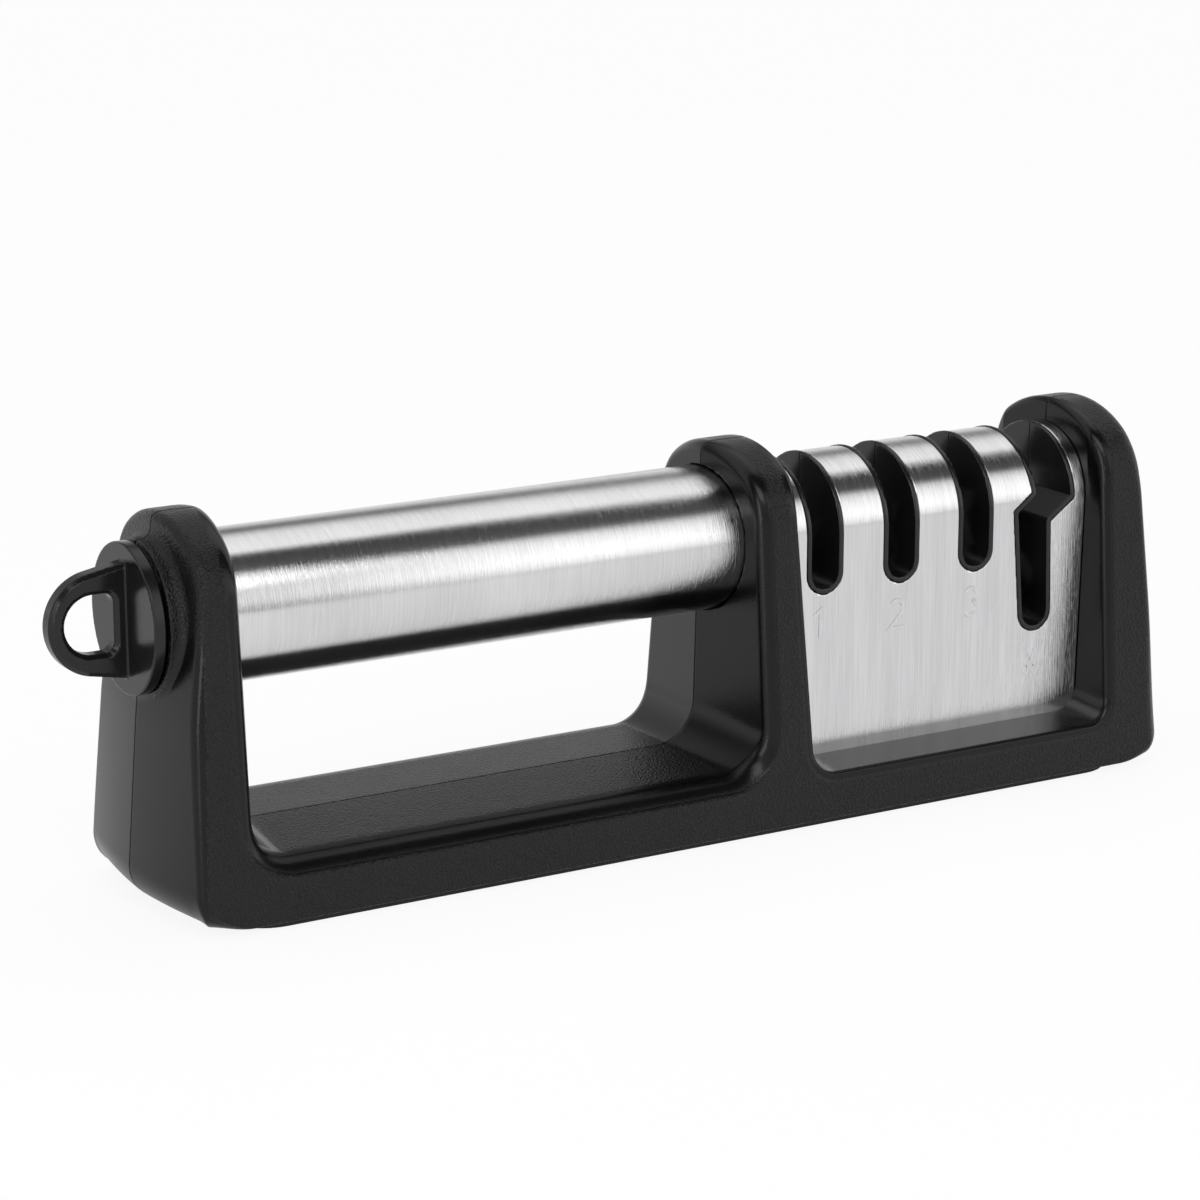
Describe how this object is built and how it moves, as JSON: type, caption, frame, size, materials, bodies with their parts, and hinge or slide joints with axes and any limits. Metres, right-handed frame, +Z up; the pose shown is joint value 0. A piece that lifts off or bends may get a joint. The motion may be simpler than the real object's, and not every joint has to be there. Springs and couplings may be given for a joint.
{
  "type": "pull-through knife sharpener",
  "caption": "Pull-through knife sharpener: black moulded frame, round steel handle, swivelling hanging ring, and a steel-clad block with knife slots and a scissors slot.",
  "frame": {"origin": "on the table, under the middle of the frame's underside, at the seam between the two halves", "axes": "+X along the tool from the hanging ring towards the sharpening block, +Y from the user's side to the back, +Z up"},
  "size_m": [0.2664, 0.0566, 0.0828],
  "materials": {
    "frame": "fine spark texture, black",
    "steel": "brushed stainless",
    "knob": "satin black",
    "cartridge": "smooth, black",
    "inner_plastic": "plain moulded",
    "screws": "zinc plated",
    "carbide": "ground tungsten carbide",
    "diamond": "diamond grit on steel",
    "ceramic": "fine fired ceramic, off-white",
    "sole": "matt black rubber"
  },
  "bodies": {
    "tool": {"frame_front": "frame", "frame_back": "frame", "frame_screws": "screws", "handle_tube": "steel", "tube_plug_left": "inner_plastic", "tube_plug_right": "inner_plastic", "steel_cover": "steel", "cartridge_front": "cartridge", "cartridge_back": "cartridge", "cartridge_screws": "screws", "carbide_front": "carbide", "carbide_back": "carbide", "carbide_screws": "screws", "diamond_rod_front": "diamond", "diamond_rod_back": "diamond", "ceramic_rod_front": "ceramic", "ceramic_rod_back": "ceramic", "scissors_rod": "ceramic", "bottom_plate": "inner_plastic", "plate_screws": "screws", "rubber_sole": "sole"},
    "hanger": {"hang_knob": "knob", "knob_washer": "screws", "knob_screw": "screws"}
  },
  "joints": [
    {"name": "knob_swivel", "type": "hinge", "parent": "tool", "child": "hanger", "pos_m": [-0.1215, 0, 0.0615], "axis": [1, 0, 0], "continuous": true}
  ]
}
